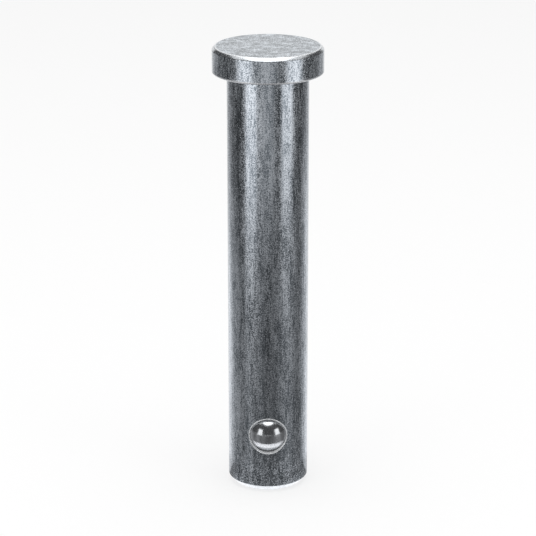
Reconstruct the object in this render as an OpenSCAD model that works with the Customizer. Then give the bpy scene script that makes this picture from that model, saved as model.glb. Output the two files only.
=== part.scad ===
// Vise jaw pin: a headed steel pin with a spring-loaded detent ball near its tip.
// Millimetres. The origin is the centre of the tip face, +Z runs up the pin to the head,
// and the ball looks along -Y.

/* [Shank] */
// Diameter of the straight shank
shank_d = 19.05; // [14:0.05:26]
// Length from the tip face to the underside of the head
grip_length = 101.6; // [60:0.1:160]
// Height and width of the chamfer at the tip
tip_chamfer = 1.6; // [0.4:0.1:3]

/* [Head] */
// Diameter of the head
head_d = 25.85; // [21:0.05:40]
// Thickness of the head
head_h = 6.16; // [3:0.02:12]
// How far the head's top chamfer cuts in from the rim
head_chamfer_in = 0.66; // [0.1:0.02:1.5]
// How far the head's top chamfer runs down the rim
head_chamfer_down = 0.74; // [0.1:0.02:1.5]
// Width of the small edge break round the head's underside
head_edge_break = 0.25; // [0.1:0.05:0.8]

/* [Detent ball] */
// Diameter of the ball
ball_d = 9.525; // [6:0.005:12]
// Height of the ball's centre above the tip face
ball_height = 14.6; // [9:0.1:40]
// How far the ball stands out of the shank when nothing presses it
ball_out = 1.59; // [0.6:0.01:2.2]

/* [Ball hole] */
// Gap between the ball and the round seat under the lip
seat_gap = 0.03; // [0.01:0.01:0.1]
// Gap between the ball and the bore that it slides in
bore_gap = 0.09; // [0.06:0.01:0.15]
// How much narrower than the ball the lip's opening is
lip_bite = 1.245; // [0.3:0.005:1.6]
// How much wider than the lip's opening the staking ring is
stake_widening = 1.12; // [0.3:0.02:1.4]
// Depth of the staking ring's slope at the front of the shank
stake_depth = 0.7; // [0.3:0.05:1.2]
// How far the straight bore goes past the pin's centre line
bore_past = 4.5; // [2:0.1:6]
// Full angle of the drill point that ends the bore
drill_angle = 118; // [90:1:140]

/* [Spring] */
// Wire diameter of the spring
wire_d = 0.8; // [0.4:0.05:1]
// Mean diameter of the coils
coil_d = 7.4; // [5:0.1:10]
// Number of coils, with one closed coil at each end
coils = 6; // [4:1:7]
// Gap left between each end coil and what it pushes on
spring_gap = 0.05; // [0.02:0.01:0.2]

/* [Hidden] */

// Facets of the round shapes
round_facets = 96;
seat_facets = 64;
coil_steps = 20;
wire_sides = 10;

// The pin's own radii and heights
shank_r = shank_d / 2;
head_r = head_d / 2;
head_top = grip_length + head_h;

// Along the ball's axis, 0 is the pin's centre line and the shank's front is at shank_r
ball_r = ball_d / 2;
ball_centre = shank_r + ball_out - ball_r;
seat_r = ball_r + seat_gap;
bore_r = ball_r + bore_gap;
lip_r = (ball_d - lip_bite) / 2;
stake_r = lip_r + stake_widening / 2;
shoulder = ball_r * 0.2;
through = 1;

// The spring reaches from the drill point's slope to the back of the ball
wire_r = wire_d / 2;
coil_r = coil_d / 2;
point_half = drill_angle / 2;
point_depth = bore_r / tan(point_half);
slope_rise = wire_r + spring_gap - (bore_r - coil_r) * cos(point_half);
spring_low = slope_rise / sin(point_half) - bore_past;
ball_reach = ball_r + wire_r + spring_gap;
spring_high = ball_centre - sqrt(ball_reach * ball_reach - coil_r * coil_r);
closed_pitch = wire_d * 1.12;
open_pitch = (spring_high - spring_low - 2 * closed_pitch) / (coils - 2);

// Puts +Z of its children along the ball's axis, pointing out of the pin
module along_ball_axis() {
    translate([0, 0, ball_height])
        rotate([90, 0, 0])
            children();
}

// Half outline of the head and shank
function pin_outline() = [
    [0, 0],
    [shank_r - tip_chamfer, 0],
    [shank_r, tip_chamfer],
    [shank_r, grip_length],
    [head_r - head_edge_break, grip_length],
    [head_r, grip_length + head_edge_break],
    [head_r, head_top - head_chamfer_down],
    [head_r - head_chamfer_in, head_top],
    [0, head_top]
];

// Blind bore, round seat, lip opening and sloped staking ring, as one tool
module ball_pocket() {
    translate([0, 0, -bore_past])
        cylinder(h = bore_past + ball_centre + shoulder, r = bore_r, $fn = round_facets);
    translate([0, 0, -bore_past - point_depth])
        cylinder(h = point_depth, r1 = 0, r2 = bore_r, $fn = round_facets);
    translate([0, 0, ball_centre])
        sphere(r = seat_r, $fn = seat_facets);
    translate([0, 0, ball_centre])
        cylinder(h = shank_r + through - ball_centre, r = lip_r, $fn = round_facets);
    translate([0, 0, shank_r - stake_depth])
        cylinder(h = stake_depth, r1 = lip_r, r2 = stake_r, $fn = round_facets);
    translate([0, 0, shank_r])
        cylinder(h = through, r = stake_r, $fn = round_facets);
}

// Height of the spring's wire after so many turns
function spring_rise(turns) =
    turns < 1 ? turns * closed_pitch :
    turns < coils - 1 ? closed_pitch + (turns - 1) * open_pitch :
    closed_pitch + (coils - 2) * open_pitch + (turns - coils + 1) * closed_pitch;

// One ring of points round the wire
function wire_ring(i) = [
    for (s = [0 : wire_sides - 1])
        let (
            turn = 360 * i / coil_steps,
            side = 360 * s / wire_sides,
            out = coil_r + wire_r * cos(side),
            up = spring_low + spring_rise(i / coil_steps) + wire_r * sin(side)
        )
        [out * cos(turn), out * sin(turn), up]
];

module pin_body() {
    color([0.62, 0.64, 0.67])
        difference() {
            rotate_extrude($fn = round_facets)
                polygon(pin_outline());
            along_ball_axis()
                ball_pocket();
        }
}

module detent_ball() {
    color([0.86, 0.87, 0.89])
        along_ball_axis()
            translate([0, 0, ball_centre])
                sphere(r = ball_r, $fn = seat_facets);
}

module detent_spring() {
    rings = coils * coil_steps;
    points = [for (i = [0 : rings]) each wire_ring(i)];
    sides = [
        for (i = [0 : rings - 1], s = [0 : wire_sides - 1])
            let (
                next = (s + 1) % wire_sides,
                here = i * wire_sides,
                there = here + wire_sides
            )
            each [
                [here + s, there + next, there + s],
                [here + s, here + next, there + next]
            ]
    ];
    first_end = [for (s = [wire_sides - 1 : -1 : 0]) s];
    last_end = [for (s = [0 : wire_sides - 1]) rings * wire_sides + s];
    color([0.45, 0.46, 0.48])
        along_ball_axis()
            polyhedron(points = points, faces = concat(sides, [first_end, last_end]));
}

pin_body();
detent_ball();
detent_spring();
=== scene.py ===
"""Vise jaw pin: the turned pin, its staked detent ball and the spring behind it, in a studio."""

import math

import bmesh
import bpy
from bpy.props import FloatProperty, FloatVectorProperty, IntProperty, PointerProperty
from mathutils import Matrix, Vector


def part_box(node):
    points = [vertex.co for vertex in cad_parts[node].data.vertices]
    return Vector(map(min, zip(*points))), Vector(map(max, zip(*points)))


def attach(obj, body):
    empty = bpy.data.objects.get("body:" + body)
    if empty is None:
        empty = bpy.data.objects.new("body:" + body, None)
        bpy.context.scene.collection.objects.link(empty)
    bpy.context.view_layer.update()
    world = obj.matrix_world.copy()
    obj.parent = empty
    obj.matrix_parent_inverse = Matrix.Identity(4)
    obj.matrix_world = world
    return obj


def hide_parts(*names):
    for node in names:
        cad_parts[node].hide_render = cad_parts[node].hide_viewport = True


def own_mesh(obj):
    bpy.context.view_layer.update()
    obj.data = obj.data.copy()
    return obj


bl_info = {
    "name": "Vise Jaw Pin",
    "version": (1, 0, 0),
    "blender": (4, 5, 0),
    "location": "3D View > Sidebar > Jaw Pin",
    "description": "Models a headed steel pin with a spring-loaded detent ball, and lights it",
    "category": "Object",
}

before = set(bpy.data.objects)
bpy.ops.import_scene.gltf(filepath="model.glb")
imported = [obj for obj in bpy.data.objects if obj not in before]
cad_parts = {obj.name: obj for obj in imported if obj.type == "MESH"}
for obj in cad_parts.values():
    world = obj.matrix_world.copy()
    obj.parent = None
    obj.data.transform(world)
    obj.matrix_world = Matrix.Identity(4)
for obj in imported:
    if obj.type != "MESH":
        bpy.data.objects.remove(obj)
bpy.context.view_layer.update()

PIN_LOW, PIN_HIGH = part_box("pin_body")
BALL_LOW, BALL_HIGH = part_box("detent_ball")
SPRING_LOW, SPRING_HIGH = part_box("detent_spring")
BALL_MIDDLE = (BALL_LOW + BALL_HIGH) / 2
BALL_RADIUS = (BALL_HIGH.z - BALL_LOW.z) / 2

# Facets of the round forms
HOLE_FACETS = 160
SEAT_STEPS = 24
RIDGE_SIDES = 16
BALL_CUTS = 39
WIRE_SIDES = 16
COIL_STEPS = 48
CARD_FACETS = 120

# The ball's hole: half the drill point's angle, how far round the ball the seat closes in, and
# how far in front of the ball's middle the bore ends, in radii of the ball
DRILL_HALF_ANGLE = math.radians(59)
SEAT_CLOSES_TO = math.radians(75)
SHOULDER_IN_RADII = 0.2

# Pitch of a closed coil, in wire diameters
CLOSED_PITCH = 1.12

# How upright the normal of a flat end is at least, and the width of the narrow ring inside it
FLAT_END = 0.9
END_INSET = 0.0002

# Steps of each rounded edge, and how much rounder the corner under the head is than the others
ROUND_STEPS = 3
CORNER_IN_ROUNDS = 2.5

# Heights of the cuts round the shank, from the middle of the ball
BANDS = (-0.0058, 0.0058, 0.03)

# How far the middle of the staked ridge lies under the shank's surface, in half thicknesses
RIDGE_SINKS = 0.6

# How far a ring of edges may be from its place in the outline, and points from each other to merge
HEIGHT_WITHIN = 1e-5
RADIUS_WITHIN = 2e-5
MERGE_WITHIN = 0.00001

# The softboxes' distance from the pin, and the height and angles over which it sees them
SOFTBOX_DISTANCE = 0.7
SOFTBOX_EYE = 0.06
SOFTBOX_LOW = math.radians(-17)
SOFTBOX_HIGH = math.radians(24.5)

# The top softbox: where it hangs, its width and its depth
TOP_PLACE = (0, -0.1, 0.76)
TOP_WIDTH = 0.78
TOP_DEPTH = 0.84

# Distances from the pin between which a toned card goes from its near tones to its far ones
NEAR_TONES_END = 0.155
FAR_TONES_START = 0.35

# The floor's width, and how far the camera and the metal see it lifted towards white
FLOOR_WIDTH = 6
FLOOR_LIFT = 0.65

# The low fins round the foot
FIN_COUNT = 9
FIN_FIRST = 0.0107
FIN_STEP = 0.001
FIN_HEIGHT = 0.0009


def hex_colour(text):
    """Turns an sRGB hex value into Blender's linear red, green and blue."""
    channels = [int(text[i:i + 2], 16) / 255 for i in (1, 3, 5)]
    return tuple(
        c / 12.92 if c <= 0.04045 else ((c + 0.055) / 1.055) ** 2.4 for c in channels
    )


def length(name, description, default):
    """Gives a length property in metres, shown in the scene's own unit."""
    return FloatProperty(
        name=name, description=description, default=default, min=0.0,
        unit="LENGTH", subtype="DISTANCE", precision=5,
    )


def colour(name, description, default):
    """Gives a colour property whose default is a hex value."""
    return FloatVectorProperty(
        name=name, description=description, default=hex_colour(default), min=0.0, max=1.0,
        size=3, subtype="COLOR",
    )


def brightness(name, description, default):
    """Gives a brightness property, where 1 is white."""
    return FloatProperty(name=name, description=description, default=default, min=0.0)


class JawPinSizes(bpy.types.PropertyGroup):
    """Sizes of the pin, its ball and its spring."""

    shank_diameter: length("Shank Diameter", "Diameter of the straight shank", 0.01905)
    grip_length: length("Grip Length", "From the tip face to the underside of the head", 0.1016)
    tip_chamfer: length("Tip Chamfer", "Height and width of the chamfer at the tip", 0.0016)
    head_diameter: length("Head Diameter", "Diameter of the disc head", PIN_HIGH.x - PIN_LOW.x)
    total_length: length(
        "Total Length", "From the tip face to the top of the head", PIN_HIGH.z - PIN_LOW.z)
    head_chamfer_in: length(
        "Head Chamfer In", "How far the head's chamfer cuts in from the rim", 0.00066)
    head_chamfer_down: length(
        "Head Chamfer Down", "How far the head's chamfer runs down the rim", 0.00074)
    edge_break: length(
        "Edge Break", "Width of the edge break round the head's underside", 0.00025)
    edge_round: length(
        "Edge Rounding", "Rounding that plating and handling leave on turned edges", 0.00007)
    ball_diameter: length("Ball Diameter", "Diameter of the detent ball", 2 * BALL_RADIUS)
    seat_gap: length(
        "Seat Gap", "Gap between the ball and the round seat that is staked over it", 0.00003)
    ring_width: length(
        "Staking Ring", "Width across the staking ring at the shank's surface", 0.009)
    ring_slope: length(
        "Ring Slope", "Width and depth of the bright slope that the staking tool leaves", 0.0003)
    lip_opening: length(
        "Lip Opening", "Width of the opening at the bottom of the lip, narrower than the ball",
        0.00828)
    lip_depth: length("Lip Depth", "Depth of the lip under the shank's surface", 0.00085)
    ridge: length("Ridge", "Half thickness of the round ridge that staking pushes up", 0.00009)
    bore_diameter: length("Bore Diameter", "Diameter of the bore behind the ball", 0.009705)
    bore_past: length(
        "Bore Past Centre", "How far the straight bore goes past the pin's centre line", 0.0045)
    wire_diameter: length("Wire Diameter", "Diameter of the spring wire", 0.0008)
    coil_diameter: length("Coil Diameter", "Mean diameter of the spring's coils", 0.0074)
    coils: IntProperty(
        name="Coils", description="Number of coils, with one closed coil at each end",
        default=6, min=4, max=7,
    )
    facets: IntProperty(
        name="Facets", description="Facets round the pin", default=256, min=64, max=512,
    )


class JawPinFinish(bpy.types.PropertyGroup):
    """Colours of the metals."""

    zinc: colour("Zinc Plating", "Colour of the brightest grains of the zinc plating", "#dee4ea")
    zinc_dull: colour("Dull Zinc", "Colour of the dull grains between them", "#70777d")
    rubbed: colour("Rubbed Edge", "Colour of edges that handling has rubbed bright", "#eceef0")
    ball: colour("Ball", "Colour of the polished ball", "#c8cacd")
    # The dark colour that places deep inside the ball's hole get
    bore: colour("Bore", "Colour of the drilled and oiled bore", "#4a4845")
    wire: colour("Spring Wire", "Colour of the drawn spring wire", "#8c8a86")


class JawPinStage(bpy.types.PropertyGroup):
    """The studio: camera, floor, lights and cards."""

    camera_back: length(
        "Camera Distance", "How far the camera stands in front of the pin", 0.4909)
    camera_height: length("Camera Height", "Height of the camera above the floor", 0.2213)
    camera_down: FloatProperty(
        name="Camera Pitch", description="How far the camera looks down",
        default=math.radians(18.83), subtype="ANGLE", unit="ROTATION",
    )
    lens: FloatProperty(
        name="Lens", description="Focal length in millimetres on a 36 mm sensor",
        default=146.89, min=20,
    )
    floor: colour("Floor", "Colour of the pale floor", "#f8f8f8")
    # The faint glow of the dark cards, a painted dark reflection
    card: colour("Dark Card", "What the dark cards round the pin send back", "#595b5e")
    side_level: brightness(
        "Side Softboxes", "Brightness of the side softboxes, where 1 is white", 1.6)
    top_level: brightness("Top Softbox", "Brightness of the top softbox, where 1 is white", 1.45)
    room_level: brightness("Room", "Brightness of the soft light from the white room", 0.72)


def clear_selection():
    """Leaves edit mode and deselects everything."""
    if bpy.context.object and bpy.context.object.mode != "OBJECT":
        bpy.ops.object.mode_set(mode="OBJECT")
    bpy.ops.object.select_all(action="DESELECT")


def activate(piece):
    """Makes one piece the only selected and active object."""
    clear_selection()
    piece.select_set(True)
    bpy.context.view_layer.objects.active = piece


def edit(piece):
    """Enters edit mode on one piece with nothing selected in its mesh."""
    activate(piece)
    bpy.ops.object.mode_set(mode="EDIT")
    bpy.ops.mesh.select_all(action="DESELECT")


def edit_new(name):
    """Names the primitive that was just added, puts its place into its mesh and edits it."""
    piece = bpy.context.object
    piece.name = name
    activate(piece)
    bpy.ops.object.transform_apply(location=True, rotation=True, scale=True)
    edit(piece)
    return piece


def pick(piece, kind, test):
    """In edit mode, selects only the faces, edges or vertices that pass the test."""
    modes = {"faces": "FACE", "edges": "EDGE", "verts": "VERT"}
    bpy.ops.mesh.select_mode(type=modes[kind])
    bpy.ops.mesh.select_all(action="DESELECT")
    mesh = bmesh.from_edit_mesh(piece.data)
    count = 0
    for element in getattr(mesh, kind):
        if test(element):
            element.select_set(True)
            count += 1
    mesh.select_flush_mode()
    bmesh.update_edit_mesh(piece.data)
    if not count:
        raise RuntimeError(f"{piece.name}: nothing to select among its {kind}")


def push_out(move, scale):
    """Extrudes the selected cap by a move, then scales it about its own middle."""
    bpy.ops.mesh.extrude_region_move(TRANSFORM_OT_translate={"value": move})
    bpy.ops.transform.resize(value=scale)


def face_outwards():
    """In edit mode, turns all faces of the piece outwards."""
    bpy.ops.mesh.select_all(action="SELECT")
    bpy.ops.mesh.normals_make_consistent(inside=False)


def apply_modifier(piece, kind, settings):
    """Adds a modifier with its settings and applies it."""
    activate(piece)
    modifier = piece.modifiers.new(kind.title(), kind)
    for name, value in settings.items():
        setattr(modifier, name, value)
    bpy.ops.object.modifier_apply(modifier=modifier.name)


def settle(piece, angle=math.radians(30)):
    """Puts the piece's place into its mesh, turns its faces outwards and smooths it."""
    activate(piece)
    bpy.ops.object.transform_apply(location=True, rotation=True, scale=True)
    edit(piece)
    face_outwards()
    activate(piece)
    bpy.ops.object.shade_smooth_by_angle(angle=angle)


def hand_over(piece, name, body, node, material):
    """Names the piece, gives it its material, and puts it in the place of its CAD node."""
    piece.name = name
    piece.data.name = name
    piece.data.materials.clear()
    piece.data.materials.append(material)
    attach(piece, body)
    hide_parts(node)


def add_node(tree, kind, settings=None, links=None):
    """Adds a shader node, sets its properties and sockets, and links its inputs. A link comes
    from an output, or from the first output of a node."""
    node = tree.nodes.new(kind)
    for key, value in (settings or {}).items():
        if isinstance(key, str) and key.islower():
            setattr(node, key, value)
        else:
            node.inputs[key].default_value = value
    for key, source in (links or {}).items():
        if isinstance(source, bpy.types.Node):
            source = source.outputs[0]
        tree.links.new(source, node.inputs[key])
    return node


def new_material(name):
    """Starts a material with only an output node, and returns it with its tree and output."""
    old = bpy.data.materials.get(name)
    if old:
        bpy.data.materials.remove(old)
    material = bpy.data.materials.new(name)
    material.use_nodes = True
    material.node_tree.nodes.clear()
    output = add_node(material.node_tree, "ShaderNodeOutputMaterial")
    return material, material.node_tree, output


def zinc_plated_steel(finish, size):
    """Turned steel, bright zinc plated: a cool grey metal. Bar drawing leaves faint lines along
    it, and the plating is grained and mottled, so what it mirrors breaks up. Handling has rubbed
    its edges brighter."""
    material, tree, output = new_material("zinc_plated_turned_steel")
    coordinates = add_node(tree, "ShaderNodeTexCoord").outputs
    place = coordinates["Object"]
    normal = add_node(tree, "ShaderNodeSeparateXYZ", links={0: coordinates["Normal"]})
    upright = add_node(tree, "ShaderNodeMath", {"operation": "ABSOLUTE"}, {0: normal.outputs["Z"]})
    on_end = add_node(
        tree, "ShaderNodeMapRange", {"From Min": 0.85, "From Max": 0.95}, {0: upright})

    # Faint lines along the bar, some 0.35 mm apart; on the flat ends they lie across
    along = add_node(tree, "ShaderNodeMapping", {"Scale": (1, 1, 0.15)}, {0: place})
    across = add_node(
        tree, "ShaderNodeMapping", {"Scale": (0.75, 1, 1), "Rotation": (0, 0, 0.25)}, {0: place})
    lie = add_node(
        tree, "ShaderNodeMix", {"data_type": "VECTOR"}, {0: on_end, 4: along, 5: across})
    lines = add_node(
        tree, "ShaderNodeTexNoise", {"Scale": 2800, "Detail": 2, "Roughness": 0.6},
        {0: lie.outputs[1]})
    # Grain of the plating, really under 0.1 mm, drawn at 0.27 mm so that it shows
    grain = add_node(
        tree, "ShaderNodeTexNoise", {"Scale": 3700, "Detail": 1, "Roughness": 0.6}, {0: place})
    # Cloudy patches up to 2 mm across
    clouds = add_node(
        tree, "ShaderNodeTexNoise", {"Scale": 500, "Detail": 4, "Roughness": 0.75},
        {0: lie.outputs[1]})
    relief = add_node(
        tree, "ShaderNodeMath", {"operation": "MULTIPLY_ADD", 1: 0.52}, {0: lines, 2: grain})
    # The faced ends are blotched more coarsely than the sides
    blotch = add_node(tree, "ShaderNodeMapRange", {"To Min": 0.66, "To Max": 1.2}, {0: on_end})
    shift = add_node(
        tree, "ShaderNodeMath", {"operation": "MULTIPLY_ADD", 1: -0.31}, {0: on_end, 2: relief})
    mottle = add_node(
        tree, "ShaderNodeMath", {"operation": "MULTIPLY_ADD"}, {0: clouds, 1: blotch, 2: shift})
    bright = add_node(
        tree, "ShaderNodeMapRange", {"From Min": 0.925, "From Max": 1.265}, {0: mottle})
    tone = add_node(
        tree, "ShaderNodeMix",
        {"data_type": "RGBA", 6: (*finish.zinc_dull, 1), 7: (*finish.zinc, 1)}, {0: bright})
    side_rough = add_node(tree, "ShaderNodeMapRange", {"To Min": 0.12, "To Max": 0.3}, {0: bright})
    rough = add_node(
        tree, "ShaderNodeMath", {"operation": "MULTIPLY_ADD", 1: 0.1}, {0: on_end, 2: side_rough})

    # How near the turned edges a point is, as a distance in the pin's half section
    flat = add_node(
        tree, "ShaderNodeVectorMath", {"operation": "MULTIPLY", 1: (1, 1, 0)}, {0: place})
    radius = add_node(
        tree, "ShaderNodeVectorMath", {"operation": "LENGTH"}, {0: flat}).outputs["Value"]
    point = add_node(tree, "ShaderNodeSeparateXYZ", links={0: place})
    section = add_node(
        tree, "ShaderNodeCombineXYZ", links={0: radius, 2: point.outputs["Z"]})
    head = size.head_diameter / 2
    shank = size.shank_diameter / 2
    nearest = None
    for edge in (
        (head, 0, size.grip_length + size.edge_break),
        (head - size.head_chamfer_in, 0, size.total_length),
        (shank - size.tip_chamfer, 0, 0),
    ):
        away = add_node(
            tree, "ShaderNodeVectorMath", {"operation": "DISTANCE", 1: edge}, {0: section})
        if nearest is None:
            nearest = away.outputs["Value"]
        else:
            nearest = add_node(
                tree, "ShaderNodeMath", {"operation": "MINIMUM"},
                {0: nearest, 1: away.outputs["Value"]})
    uneven = add_node(
        tree, "ShaderNodeMath", {"operation": "MULTIPLY_ADD", 1: 0.0004}, {0: grain, 2: nearest})
    edges = add_node(
        tree, "ShaderNodeMapRange",
        {"From Min": 0.00032, "From Max": 0.0005, "To Min": 1.0, "To Max": 0.0}, {0: uneven})

    # The staking tool has crushed the plating round the ball to a pale matt ring
    from_ball = add_node(
        tree, "ShaderNodeVectorMath", {"operation": "SUBTRACT", 1: BALL_MIDDLE}, {0: place})
    on_face = add_node(
        tree, "ShaderNodeVectorMath", {"operation": "MULTIPLY", 1: (1, 0, 1)}, {0: from_ball})
    reach = add_node(tree, "ShaderNodeVectorMath", {"operation": "LENGTH"}, {0: on_face})
    crushed_middle = size.ring_width / 2 - 0.00025
    crushed_half_width = 0.00035
    ring = add_node(
        tree, "ShaderNodeMath",
        {"operation": "COMPARE", 1: crushed_middle, 2: crushed_half_width},
        {0: reach.outputs["Value"]})
    facing = add_node(
        tree, "ShaderNodeMath", {"operation": "LESS_THAN", 1: -0.005}, {0: point.outputs["Y"]})
    peened = add_node(
        tree, "ShaderNodeMath", {"operation": "MULTIPLY"}, {0: ring, 1: facing})
    # The chamfers were cut last and are smoother and brighter than the drawn bar
    sloped = add_node(
        tree, "ShaderNodeMath", {"operation": "COMPARE", 1: 0.69, 2: 0.1}, {0: upright})
    cut = add_node(tree, "ShaderNodeMath", {"operation": "MULTIPLY", 1: 0.45}, {0: sloped})
    bare = add_node(tree, "ShaderNodeMath", {"operation": "MAXIMUM"}, {0: edges, 1: cut})
    wear = add_node(tree, "ShaderNodeMath", {"operation": "MAXIMUM"}, {0: bare, 1: peened})
    worn_tone = add_node(
        tree, "ShaderNodeMix", {"data_type": "RGBA", 7: (*finish.rubbed, 1)},
        {0: wear, 6: tone.outputs[2]})
    rubbed_rough = add_node(
        tree, "ShaderNodeMix", {"data_type": "FLOAT", 3: 0.5}, {0: edges, 2: rough})
    worn_rough = add_node(
        tree, "ShaderNodeMix", {"data_type": "FLOAT", 3: 0.5}, {0: peened, 2: rubbed_rough})

    # Deeper than about 0.8 mm inside the ball's hole the colour goes over to the dark bore colour,
    # and the roughness to 0.4
    deep = add_node(
        tree, "ShaderNodeMapRange",
        {"From Min": shank - 0.0013, "From Max": shank - 0.0008, "To Min": 1.0, "To Max": 0.0},
        {0: radius})
    level = add_node(
        tree, "ShaderNodeMath", {"operation": "COMPARE", 1: BALL_MIDDLE.z, 2: 0.006},
        {0: point.outputs["Z"]})
    inside = add_node(tree, "ShaderNodeMath", {"operation": "MULTIPLY"}, {0: deep, 1: level})
    full_tone = add_node(
        tree, "ShaderNodeMix", {"data_type": "RGBA", 7: (*finish.bore, 1)},
        {0: inside, 6: worn_tone.outputs[2]})
    full_rough = add_node(
        tree, "ShaderNodeMix", {"data_type": "FLOAT", 3: 0.4}, {0: inside, 2: worn_rough})

    bump = add_node(
        tree, "ShaderNodeBump", {"Strength": 1.0, "Distance": 0.00001}, {"Height": relief})
    clean = add_node(tree, "ShaderNodeMapRange", {"To Min": 1.0, "To Max": 0.5}, {0: peened})
    metal = add_node(tree, "ShaderNodeBsdfPrincipled", links={
        "Base Color": full_tone.outputs[2], "Metallic": clean, "Roughness": full_rough,
        "Normal": bump})
    tree.links.new(metal.outputs[0], output.inputs[0])
    return material


def polished_ball_steel(finish):
    """Hardened chrome steel ball, ground and lapped: a near mirror with only hair-fine marks."""
    material, tree, output = new_material("lapped_chrome_steel_ball")
    place = add_node(tree, "ShaderNodeTexCoord").outputs["Object"]
    # Handling marks, really hair fine, drawn up to 0.4 mm long so that they show
    marks = add_node(
        tree, "ShaderNodeTexNoise", {"Scale": 2600, "Detail": 3, "Roughness": 0.65}, {0: place})
    rough = add_node(
        tree, "ShaderNodeMapRange",
        {"From Min": 0.4, "From Max": 0.7, "To Min": 0.14, "To Max": 0.22}, {0: marks})
    clean = add_node(tree, "ShaderNodeMapRange", {"From Min": 0.35, "From Max": 0.6}, {0: marks})
    marked = tuple(c * 0.72 for c in finish.ball)
    tone = add_node(
        tree, "ShaderNodeMix", {"data_type": "RGBA", 6: (*marked, 1), 7: (*finish.ball, 1)},
        {0: clean})
    bump = add_node(
        tree, "ShaderNodeBump", {"Strength": 1.0, "Distance": 0.000004}, {"Height": marks})
    metal = add_node(
        tree, "ShaderNodeBsdfPrincipled", {"Metallic": 1.0},
        {"Base Color": tone.outputs[2], "Roughness": rough, "Normal": bump})
    tree.links.new(metal.outputs[0], output.inputs[0])
    return material


def drawn_spring_wire(finish):
    """Cold drawn spring wire, lightly oiled: a mid grey metal, dulled by the die."""
    material, tree, output = new_material("drawn_spring_wire")
    place = add_node(tree, "ShaderNodeTexCoord").outputs["Object"]
    # Marks of the die, some 0.2 mm long
    die = add_node(tree, "ShaderNodeTexNoise", {"Scale": 5000, "Detail": 2}, {0: place})
    rough = add_node(tree, "ShaderNodeMapRange", {"To Min": 0.25, "To Max": 0.45}, {0: die})
    metal = add_node(
        tree, "ShaderNodeBsdfPrincipled", {"Metallic": 1.0, "Base Color": (*finish.wire, 1)},
        {"Roughness": rough})
    tree.links.new(metal.outputs[0], output.inputs[0])
    return material


def push_through(steps, here):
    """Extrudes the selected cap outwards along the ball's axis, through steps of place and
    radius."""
    here_y, here_r = here
    for y, radius in steps:
        push_out((0, y - here_y, 0), (radius / here_r, 1, radius / here_r))
        here_y, here_r = y, radius


def bend_round_shank(piece, shank):
    """In edit mode, moves a flat form back so that it follows the round of the shank."""
    mesh = bmesh.from_edit_mesh(piece.data)
    for vertex in mesh.verts:
        vertex.co.y += shank - math.sqrt(shank ** 2 - vertex.co.x ** 2)
    bmesh.update_edit_mesh(piece.data)


def seat_and_bore_cutter(size):
    """Models the hole for the ball as a solid: drill point, bore, and the round seat that closes
    in over the ball."""
    bore = size.bore_diameter / 2
    seat = size.ball_diameter / 2 + size.seat_gap
    point = bore / math.tan(DRILL_HALF_ANGLE)
    start = size.bore_past
    clear_selection()
    bpy.ops.mesh.primitive_cone_add(
        vertices=HOLE_FACETS, radius1=bore, radius2=0, depth=point,
        location=(0, start + point / 2, BALL_MIDDLE.z), rotation=(math.radians(-90), 0, 0),
    )
    cutter = edit_new("ball_hole_cutter")
    pick(cutter, "faces", lambda f: len(f.verts) > 4)
    shoulder = SHOULDER_IN_RADII * BALL_RADIUS
    steps = [(BALL_MIDDLE.y - shoulder, bore)]
    low = math.asin(shoulder / seat)
    for i in range(SEAT_STEPS + 1):
        lean = low + (SEAT_CLOSES_TO - low) * i / SEAT_STEPS
        steps.append((BALL_MIDDLE.y - seat * math.sin(lean), seat * math.cos(lean)))
    push_through(steps, (start, bore))
    face_outwards()
    clear_selection()
    return cutter


def ring_cutter(size):
    """Models the staked lip and the slope round it as a solid whose rings follow the round of the
    shank."""
    ring = size.ring_width / 2
    slope = size.ring_slope
    shank = size.shank_diameter / 2
    lip = size.lip_opening / 2
    bottom = size.lip_depth - shank
    middle = lip * 0.7
    clear_selection()
    bpy.ops.mesh.primitive_circle_add(
        vertices=HOLE_FACETS, radius=middle, fill_type="NGON",
        location=(0, bottom, BALL_MIDDLE.z), rotation=(math.radians(90), 0, 0),
    )
    cutter = edit_new("ring_cutter")
    bpy.ops.mesh.select_all(action="SELECT")
    steps = [
        # Flat bottom of the lip
        (bottom, lip * 0.85),
        (bottom, lip),
        # Steep lip, then the bright slope to the shank's surface
        (slope * 1.1 - shank, ring - slope - 0.00003),
        (slope * 0.95 - shank, ring - slope),
        (-shank, ring),
        # Clear of the shank and of the ridge
        (-shank - 0.0002, ring + 0.0002),
        (-shank - 0.0012, ring + 0.0003),
    ]
    push_through(steps, (bottom, middle))
    bend_round_shank(cutter, shank)
    face_outwards()
    clear_selection()
    return cutter


def staked_ridge(size):
    """Models the low round ridge that staking pushes up round the hole, following the round of
    the shank."""
    shank = size.shank_diameter / 2
    clear_selection()
    bpy.ops.mesh.primitive_torus_add(
        major_radius=size.ring_width / 2, minor_radius=size.ridge,
        major_segments=HOLE_FACETS, minor_segments=RIDGE_SIDES,
        location=(0, size.ridge * RIDGE_SINKS - shank, BALL_MIDDLE.z),
        rotation=(math.radians(90), 0, 0),
    )
    ridge = edit_new("staked_ridge")
    bend_round_shank(ridge, shank)
    clear_selection()
    return ridge


def is_ring_at(edge, places):
    """Tells whether an edge runs round the pin at one of the places of height and radius, which
    is so only if both its ends are there."""
    return any(
        all(
            abs(end.co.z - z) < HEIGHT_WITHIN
            and abs(Vector(end.co[:2]).length - r) < RADIUS_WITHIN
            for end in edge.verts
        )
        for z, r in places
    )


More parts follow.
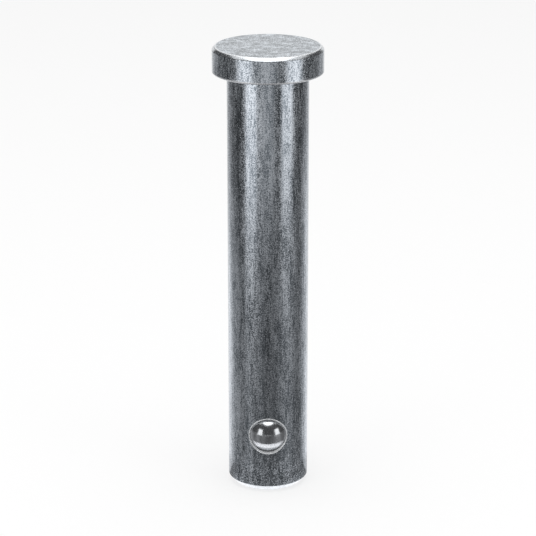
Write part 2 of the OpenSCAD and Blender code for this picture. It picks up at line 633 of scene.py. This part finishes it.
class JAWPIN_OT_pin_body(bpy.types.Operator):
    """Model the turned pin with its head, chamfers and the ball's hole"""

    bl_idname = "jawpin.pin_body"
    bl_label = "Pin Body"

    def execute(self, context):
        size = context.scene.jaw_pin_sizes
        shank = size.shank_diameter / 2
        head = size.head_diameter / 2
        grip = size.grip_length
        top = size.total_length
        chamfer = size.tip_chamfer
        clear_selection()
        bpy.ops.mesh.primitive_cylinder_add(
            vertices=size.facets, radius=shank, depth=grip - chamfer,
            location=(0, 0, (grip + chamfer) / 2), end_fill_type="NGON",
        )
        pin = edit_new("pin")

        # Tip chamfer
        pick(pin, "faces", lambda f: f.normal.z < -FLAT_END)
        inner = (shank - chamfer) / shank
        push_out((0, 0, -chamfer), (inner, inner, 1))

        # Head: underside, edge break, rim and top chamfer
        pick(pin, "faces", lambda f: f.normal.z > FLAT_END)
        outline = [
            (grip, head - size.edge_break),
            (grip + size.edge_break, head),
            (top - size.head_chamfer_down, head),
            (top, head - size.head_chamfer_in),
        ]
        here_z, here_r = grip, shank
        for z, radius in outline:
            push_out((0, 0, z - here_z), (radius / here_r, radius / here_r, 1))
            here_z, here_r = z, radius

        # Turned edges are rounded by plating and handling, and the corner under the head by the
        # nose of the turning tool
        sharp = [(0, shank - chamfer), (chamfer, shank)] + outline
        pick(pin, "edges", lambda e: is_ring_at(e, sharp))
        bpy.ops.mesh.bevel(offset=size.edge_round, segments=ROUND_STEPS, affect="EDGES")
        pick(pin, "edges", lambda e: is_ring_at(e, [(grip, shank)]))
        corner = size.edge_round * CORNER_IN_ROUNDS
        bpy.ops.mesh.bevel(offset=corner, segments=ROUND_STEPS, affect="EDGES")

        # A narrow ring inside each flat end keeps its shading flat
        for side in (1, -1):
            pick(pin, "faces", lambda f: len(f.verts) > 8 and f.normal.z * side > FLAT_END)
            bpy.ops.mesh.inset(thickness=END_INSET)

        # Bands above and below the ball's hole keep the cut local
        for band in BANDS:
            bpy.ops.mesh.select_all(action="SELECT")
            bpy.ops.mesh.bisect(plane_co=(0, 0, BALL_MIDDLE.z + band), plane_no=(0, 0, 1))
        clear_selection()

        # The ridge is joined first, because the cuts then leave a closed mesh
        for operation, tool in (
            ("UNION", staked_ridge(size)),
            ("DIFFERENCE", seat_and_bore_cutter(size)),
            ("DIFFERENCE", ring_cutter(size)),
        ):
            settings = {"operation": operation, "solver": "EXACT", "object": tool}
            apply_modifier(pin, "BOOLEAN", settings)
            bpy.data.objects.remove(tool)
        settle(pin)
        apply_modifier(pin, "WEIGHTED_NORMAL", {"mode": "FACE_AREA", "keep_sharp": True})
        material = zinc_plated_steel(context.scene.jaw_pin_finish, size)
        hand_over(pin, "turned_pin", "pin", "pin_body", material)
        return {"FINISHED"}


class JAWPIN_OT_ball(bpy.types.Operator):
    """Model the polished detent ball from a divided cube that is made round, so it has no poles"""

    bl_idname = "jawpin.ball"
    bl_label = "Detent Ball"

    def execute(self, context):
        size = context.scene.jaw_pin_sizes
        radius = size.ball_diameter / 2
        clear_selection()
        bpy.ops.mesh.primitive_cube_add(size=radius * 2, location=BALL_MIDDLE)
        ball = bpy.context.object
        edit(ball)
        bpy.ops.mesh.select_all(action="SELECT")
        bpy.ops.mesh.subdivide(number_cuts=BALL_CUTS)
        bpy.ops.transform.tosphere(value=1.0)
        mesh = bmesh.from_edit_mesh(ball.data)
        now = max(v.co.length for v in mesh.verts)
        bpy.ops.transform.resize(value=(radius / now,) * 3, center_override=BALL_MIDDLE)
        settle(ball)
        material = polished_ball_steel(context.scene.jaw_pin_finish)
        hand_over(ball, "polished_ball", "ball", "detent_ball", material)
        return {"FINISHED"}


class JAWPIN_OT_spring(bpy.types.Operator):
    """Model the detent spring from a wire section: open coils, and a closed coil at each end"""

    bl_idname = "jawpin.spring"
    bl_label = "Detent Spring"

    def execute(self, context):
        size = context.scene.jaw_pin_sizes
        wire = size.wire_diameter / 2
        coil = size.coil_diameter / 2
        back = SPRING_HIGH.y - wire
        front = SPRING_LOW.y + wire
        closed = size.wire_diameter * CLOSED_PITCH
        open_turns = size.coils - 2
        spread = (back - front - 2 * closed) / open_turns
        parts = []
        for start, pitch, turns in (
            (back, closed, 1), (back - closed, spread, open_turns), (front + closed, closed, 1),
        ):
            clear_selection()
            bpy.ops.mesh.primitive_circle_add(
                vertices=WIRE_SIDES, radius=wire, location=(0, 0, 0))
            part = bpy.context.object
            edit(part)
            bpy.ops.mesh.select_all(action="SELECT")
            bpy.ops.transform.translate(value=(coil, start, 0))
            clear_selection()
            apply_modifier(part, "SCREW", {
                "axis": "Y", "angle": -2 * math.pi, "screw_offset": -pitch, "iterations": turns,
                "steps": COIL_STEPS, "render_steps": COIL_STEPS, "use_smooth_shade": True,
            })
            parts.append(part)
        activate(parts[0])
        for part in parts:
            part.select_set(True)
        bpy.ops.object.join()
        spring = bpy.context.object
        edit(spring)
        bpy.ops.mesh.select_all(action="SELECT")
        bpy.ops.mesh.remove_doubles(threshold=MERGE_WITHIN)
        pick(spring, "edges", lambda e: e.is_boundary)
        bpy.ops.mesh.edge_face_add()
        bpy.ops.mesh.select_all(action="SELECT")
        bpy.ops.transform.translate(value=(0, 0, BALL_MIDDLE.z))
        settle(spring, math.radians(50))
        material = drawn_spring_wire(context.scene.jaw_pin_finish)
        hand_over(spring, "coil_spring", "pin", "detent_spring", material)
        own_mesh(spring)
        return {"FINISHED"}


def softbox(name, azimuth, half_width, level):
    """Adds an upright area light that faces the pin, as bright as a surface of that level. Its
    azimuth and half width are in degrees, as the pin sees them."""
    azimuth = math.radians(azimuth)
    bottom = max(0.0, SOFTBOX_EYE + SOFTBOX_DISTANCE * math.tan(SOFTBOX_LOW))
    height = SOFTBOX_EYE + SOFTBOX_DISTANCE * math.tan(SOFTBOX_HIGH) - bottom
    width = 2 * SOFTBOX_DISTANCE * math.tan(math.radians(half_width))
    clear_selection()
    bpy.ops.object.light_add(type="AREA", location=(
        SOFTBOX_DISTANCE * math.sin(azimuth), -SOFTBOX_DISTANCE * math.cos(azimuth),
        bottom + height / 2))
    lamp = bpy.context.object
    lamp.name = name
    lamp.rotation_euler = (math.radians(90), 0, azimuth)
    lamp.data.shape = "RECTANGLE"
    lamp.data.size = width
    lamp.data.size_y = height
    lamp.data.energy = level * math.pi * width * height
    lamp.visible_camera = False


def top_softbox(level):
    """Hangs a round softbox overhead and a little in front."""
    clear_selection()
    bpy.ops.object.light_add(type="AREA", location=TOP_PLACE)
    lamp = bpy.context.object
    lamp.name = "softbox_top"
    lamp.data.shape = "ELLIPSE"
    lamp.data.size = TOP_WIDTH
    lamp.data.size_y = TOP_DEPTH
    lamp.data.energy = level * math.pi * TOP_WIDTH * TOP_DEPTH * math.pi / 4
    lamp.visible_camera = False


def azimuth_of(face):
    """Gives the azimuth of a face's middle round the pin in degrees, where 0 is the front."""
    middle = face.calc_center_median()
    return math.degrees(math.atan2(middle.x, -middle.y))


def finish_card(card, unwanted, material):
    """Cuts the unwanted faces from a studio card, gives it its material, and keeps it out of the
    picture, so that it is seen only in the metal."""
    pick(card, "faces", unwanted)
    bpy.ops.mesh.delete(type="FACE")
    clear_selection()
    card.data.materials.append(material)
    card.visible_camera = False
    card.visible_diffuse = False
    card.visible_transmission = False
    card.visible_shadow = False


def standing_card(name, low_azimuth, high_azimuth, distance, height, material):
    """Stands a curved dark card on the floor, between two azimuths in degrees."""
    clear_selection()
    bpy.ops.mesh.primitive_cylinder_add(
        vertices=CARD_FACETS, radius=distance, depth=height, location=(0, 0, height / 2),
        end_fill_type="NOTHING",
    )
    card = edit_new(name)
    finish_card(card, lambda f: not low_azimuth <= azimuth_of(f) <= high_azimuth, material)


def table_card(name, inner, outer, half_sweep, lift, material):
    """Lays a ring of card on the floor round the front of the pin, from an inner to an outer
    radius. Its sweep is in degrees to either side of the front."""
    clear_selection()
    bpy.ops.mesh.primitive_circle_add(
        vertices=CARD_FACETS, radius=outer, fill_type="NGON", location=(0, 0, lift))
    card = edit_new(name)
    bpy.ops.mesh.select_all(action="SELECT")
    bpy.ops.mesh.inset(thickness=outer - inner)
    bpy.ops.mesh.delete(type="FACE")
    finish_card(card, lambda f: abs(azimuth_of(f)) > half_sweep, material)


def toned_card(name, near, far):
    """Glowing card, no lamp, seen only in the metal, whose painted tone changes round the pin:
    near and far are lists of azimuth in degrees and brightness."""
    material, tree, output = new_material(name)
    place = add_node(tree, "ShaderNodeTexCoord").outputs["Object"]
    parts = add_node(tree, "ShaderNodeSeparateXYZ", links={0: place})
    front = add_node(
        tree, "ShaderNodeMath", {"operation": "MULTIPLY", 1: -1.0}, {0: parts.outputs["Y"]})
    azimuth = add_node(
        tree, "ShaderNodeMath", {"operation": "ARCTAN2"}, {0: parts.outputs["X"], 1: front})
    away = add_node(
        tree, "ShaderNodeVectorMath", {"operation": "LENGTH"}, {0: place}).outputs["Value"]
    # The round shank mirrors a place at a wider angle, the nearer the place is
    narrow = add_node(tree, "ShaderNodeMath", {"operation": "MULTIPLY", 1: 0.58}, {0: azimuth})
    across = add_node(tree, "ShaderNodeMath", {"operation": "SINE"}, {0: narrow})
    close = add_node(tree, "ShaderNodeMath", {"operation": "DIVIDE", 0: 0.0095}, {1: away})
    wide = add_node(
        tree, "ShaderNodeMath", {"operation": "MULTIPLY_ADD"}, {0: close, 1: across, 2: azimuth})
    turn = add_node(
        tree, "ShaderNodeMapRange", {"From Min": -math.pi, "From Max": math.pi}, {0: wide})
    tones = []
    for stops in (near, far):
        ramp = add_node(tree, "ShaderNodeValToRGB", links={0: turn})
        marks = ramp.color_ramp.elements
        while len(marks) > 1:
            marks.remove(marks[-1])
        marks[0].position = 0
        for i, (degrees, tone) in enumerate(stops):
            mark = marks[0] if i == 0 else marks.new(degrees / 360 + 0.5)
            # A trace of blue, as in the cool grey of the plating
            mark.color = (tone, tone, tone * 1.02, 1)
        tones.append(ramp)
    # On the right of the pin the far tones start further out than on the left
    skew = add_node(
        tree, "ShaderNodeMath", {"operation": "MULTIPLY_ADD", 1: -0.154},
        {0: parts.outputs["X"], 2: away})
    share = add_node(
        tree, "ShaderNodeMapRange",
        {"interpolation_type": "SMOOTHSTEP", "From Min": NEAR_TONES_END,
         "From Max": FAR_TONES_START}, {0: skew})
    mixed = add_node(
        tree, "ShaderNodeMix", {"data_type": "RGBA"}, {0: share, 6: tones[0], 7: tones[1]})
    glow = add_node(
        tree, "ShaderNodeEmission", {"Strength": 1.0}, {"Color": mixed.outputs[2]})
    tree.links.new(glow.outputs[0], output.inputs[0])
    return material


def plain_card(name, tone):
    """Glowing card of the same painted tone all over."""
    return toned_card(name, [(-180, tone)], [(-180, tone)])


def studio_cards(studio):
    """Sets up the glowing cards that paint what the metal mirrors."""

    # Dark cards, seen only in the metal and glowing faintly rather than lit, paint a dark
    # reflection towards the camera, as flags do in a studio
    dark = plain_card("dark_studio_card", studio.card[0])
    standing_card("card_front", -68, 76, distance=0.74, height=1.28, material=dark)
    standing_card("card_left", -150, -68, distance=0.72, height=0.8, material=dark)
    standing_card("card_right", 76, 150, distance=0.72, height=0.8, material=dark)

    # The card on the table glows with painted tones and is seen only in the metal: a painted
    # reflection that carries the side softboxes' brightness on outwards, with painted light and
    # shade round the pin
    side = studio.side_level
    near = [
        (-152, 1.2), (-137, 1.0), (-123, 0.52), (-97, 0.33), (-77, 0.19), (-58, 0.38),
        (-42, 0.2), (-25, 0.24), (0, 0.13), (25, 0.17), (49, 0.34), (66, 0.34), (85, 0.2),
        (106, 0.18), (123, 0.6), (137, 0.95), (152, 1.1),
    ]
    far = [
        (-152, 0.6), (-145, 0.5), (-125, 0.22), (-108, 0.09), (-70, 0.11), (-61, side),
        (-36, side), (-29, 0.5), (0, 0.72), (12, 0.66), (23, 0.2), (35, 0.12), (42, side),
        (70, side), (76, 0.13), (84, 0.06), (108, 0.06), (125, 0.22), (145, 0.5), (152, 0.6),
    ]
    table = toned_card("table_studio_card", near, far)
    table_card("card_table", 0.0132, 0.56, half_sweep=152, lift=0.0003, material=table)

    # A pale ring round the foot that glows brighter than white, with low fins that glow dark:
    # painted reflections seen only in the metal. The ball looks down between them, and the foot
    # sees only their sides
    ring_tones = [(-150, 0.7), (-110, 0.8), (-96, 1.8), (96, 1.8), (110, 0.8), (150, 0.7)]
    pale = toned_card("pale_studio_card", ring_tones, ring_tones)
    table_card("card_pale_ring", 0.0107, 0.0188, half_sweep=150, lift=0.0004, material=pale)
    fin = plain_card("dark_fin", 0.17)
    for step in range(FIN_COUNT):
        distance = FIN_FIRST + FIN_STEP * step
        standing_card(f"card_fin_{step}", -100, 100, distance, FIN_HEIGHT, fin)

    # A card that glows brighter than white under the tip's chamfer: a painted highlight on the
    # chamfer, seen only in the metal
    tip = plain_card("lit_studio_card", 1.35)
    table_card("card_under_tip", 0.0081, 0.0094, half_sweep=178, lift=0.0002, material=tip)


def seen_directly(tree):
    """Adds nodes that give 1 to the camera and to what mirrors or glass show, and else 0."""
    path = add_node(tree, "ShaderNodeLightPath").outputs
    seen = add_node(
        tree, "ShaderNodeMath", {"operation": "MAXIMUM"},
        {0: path["Is Camera Ray"], 1: path["Is Glossy Ray"]})
    return add_node(
        tree, "ShaderNodeMath", {"operation": "MAXIMUM"},
        {0: seen, 1: path["Is Transmission Ray"]})


def pale_floor(studio):
    """Lays matt pale card as the floor. The camera and the metal see it lifted towards white,
    with the pin's shadow on it."""
    clear_selection()
    bpy.ops.mesh.primitive_plane_add(size=FLOOR_WIDTH, location=(0, 0, 0))
    floor = bpy.context.object
    floor.name = "pale_floor"
    card, tree, output = new_material("matt_pale_card")
    lift = add_node(
        tree, "ShaderNodeMath", {"operation": "MULTIPLY", 1: FLOOR_LIFT},
        {0: seen_directly(tree)})
    matt = add_node(tree, "ShaderNodeBsdfDiffuse", {"Color": (*studio.floor, 1)})
    white = add_node(tree, "ShaderNodeEmission", {"Color": (1, 1, 1, 1), "Strength": 1.0})
    surface = add_node(tree, "ShaderNodeMixShader", links={0: lift, 1: matt, 2: white})
    tree.links.new(surface.outputs[0], output.inputs[0])
    floor.data.materials.append(card)


def white_room(studio):
    """Makes the world: the camera and the metal see white, everything else a softer light."""
    world = bpy.data.worlds.new("white_room")
    world.use_nodes = True
    tree = world.node_tree
    tree.nodes.clear()
    output = add_node(tree, "ShaderNodeOutputWorld")
    level = add_node(
        tree, "ShaderNodeMapRange", {"To Min": studio.room_level, "To Max": 1.0},
        {0: seen_directly(tree)})
    sky = add_node(tree, "ShaderNodeBackground", {"Color": (1, 1, 1, 1)}, {"Strength": level})
    tree.links.new(sky.outputs[0], output.inputs[0])
    return world


def studio_camera(studio):
    """Stands the camera in front of the pin, looking down at it."""
    clear_selection()
    bpy.ops.object.camera_add(
        location=(0, -studio.camera_back, studio.camera_height),
        rotation=(math.radians(90) - studio.camera_down, 0, 0),
    )
    camera = bpy.context.object
    camera.data.lens = studio.lens
    camera.data.sensor_width = 36
    camera.data.clip_start = 0.01
    return camera


class JAWPIN_OT_stage(bpy.types.Operator):
    """Set the pale floor, the white room, the softboxes, the cards and the camera"""

    bl_idname = "jawpin.stage"
    bl_label = "Studio"

    def execute(self, context):
        scene = context.scene
        studio = scene.jaw_pin_stage
        pale_floor(studio)
        studio_cards(studio)
        softbox("softbox_left", -46.5, 13, studio.side_level)
        softbox("softbox_right", 56, 13.5, studio.side_level)
        top_softbox(studio.top_level)
        scene.world = white_room(studio)
        scene.camera = studio_camera(studio)
        scene.view_settings.view_transform = "Standard"
        return {"FINISHED"}


class JAWPIN_PT_panel(bpy.types.Panel):
    """Sizes, colours and build buttons of the jaw pin"""

    bl_idname = "JAWPIN_PT_panel"
    bl_label = "Jaw Pin"
    bl_space_type = "VIEW_3D"
    bl_region_type = "UI"
    bl_category = "Jaw Pin"

    def draw(self, context):
        layout = self.layout
        for group in GROUPS:
            box = layout.box()
            values = getattr(context.scene, group)
            for name in values.bl_rna.properties.keys():
                if name not in ("rna_type", "name"):
                    box.prop(values, name)
        for operator in OPERATORS:
            layout.operator(operator.bl_idname)


GROUPS = {
    "jaw_pin_sizes": JawPinSizes,
    "jaw_pin_finish": JawPinFinish,
    "jaw_pin_stage": JawPinStage,
}
OPERATORS = (JAWPIN_OT_pin_body, JAWPIN_OT_ball, JAWPIN_OT_spring, JAWPIN_OT_stage)


def register():
    """Registers the classes and gives the scene its groups of values."""
    for group in GROUPS.values():
        bpy.utils.register_class(group)
    for operator in OPERATORS:
        bpy.utils.register_class(operator)
    bpy.utils.register_class(JAWPIN_PT_panel)
    for name, group in GROUPS.items():
        setattr(bpy.types.Scene, name, PointerProperty(type=group))


def unregister():
    """Takes back what register has added."""
    for name in GROUPS:
        delattr(bpy.types.Scene, name)
    bpy.utils.unregister_class(JAWPIN_PT_panel)
    for operator in reversed(OPERATORS):
        bpy.utils.unregister_class(operator)
    for group in reversed(list(GROUPS.values())):
        bpy.utils.unregister_class(group)


def main():
    """Builds the pin and its studio."""
    register()
    bpy.ops.jawpin.pin_body()
    bpy.ops.jawpin.ball()
    bpy.ops.jawpin.spring()
    bpy.ops.jawpin.stage()
    clear_selection()


if __name__ == "__main__":
    main()
